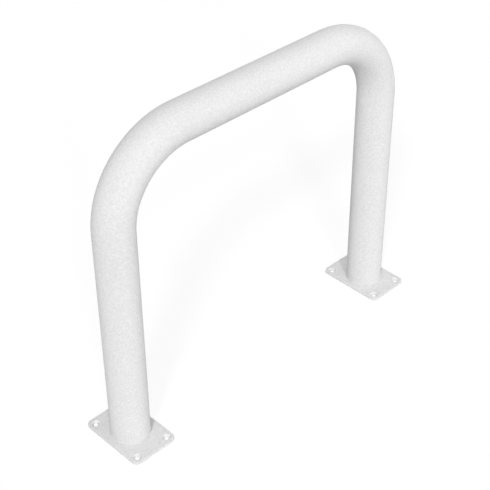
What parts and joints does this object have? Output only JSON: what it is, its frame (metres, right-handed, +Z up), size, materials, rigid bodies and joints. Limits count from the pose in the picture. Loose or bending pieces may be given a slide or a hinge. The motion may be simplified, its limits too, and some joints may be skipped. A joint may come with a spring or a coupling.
{
  "type": "hoop barrier",
  "caption": "Bolt-down hoop barrier: a round steel tube bent into a hoop with straight legs and large bends, welded to two rounded base plates with countersunk holes.",
  "frame": {"origin": "on the floor under the middle of the hoop, at the centre of the undersides of the two base plates", "axes": "+X along the hoop from one leg to the other, +Y square across it, +Z up"},
  "size_m": [0.7738, 0.15, 0.658],
  "materials": {
    "powder_coat": "matt light grey powder coat with a fine grain"
  },
  "bodies": {
    "root": {"hoop_tube": "powder_coat", "base_plate_left": "powder_coat", "base_plate_right": "powder_coat", "weld_left": "powder_coat", "weld_right": "powder_coat"}
  },
  "joints": []
}
